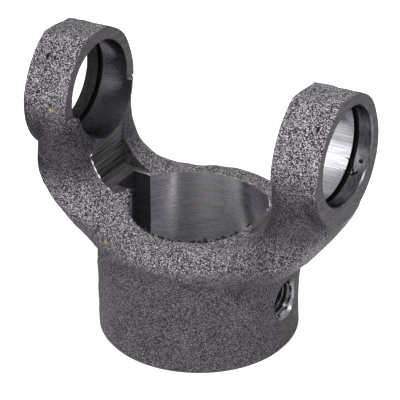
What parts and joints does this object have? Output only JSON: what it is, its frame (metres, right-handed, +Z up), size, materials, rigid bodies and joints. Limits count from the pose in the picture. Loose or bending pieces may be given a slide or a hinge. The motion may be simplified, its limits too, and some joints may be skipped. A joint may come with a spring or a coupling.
{
  "type": "forged yoke",
  "caption": "Forged steel end yoke: a keyed round hub with two upright ears whose cross bores carry the bearing cups of a universal joint.",
  "frame": {"origin": "centre of the hub's end face, on the axis of the hub bore", "axes": "+Z runs up the hub bore towards the ears, and X is the common axis of the two cross bores, with the set screw's hole on +X and the keyway on -X"},
  "size_m": [0.0888, 0.0566, 0.0804],
  "materials": {
    "forged_steel": "dark shot-blasted forging skin with bright machined bores and faces"
  },
  "bodies": {
    "root": {"forged_yoke": "forged_steel"}
  },
  "joints": []
}
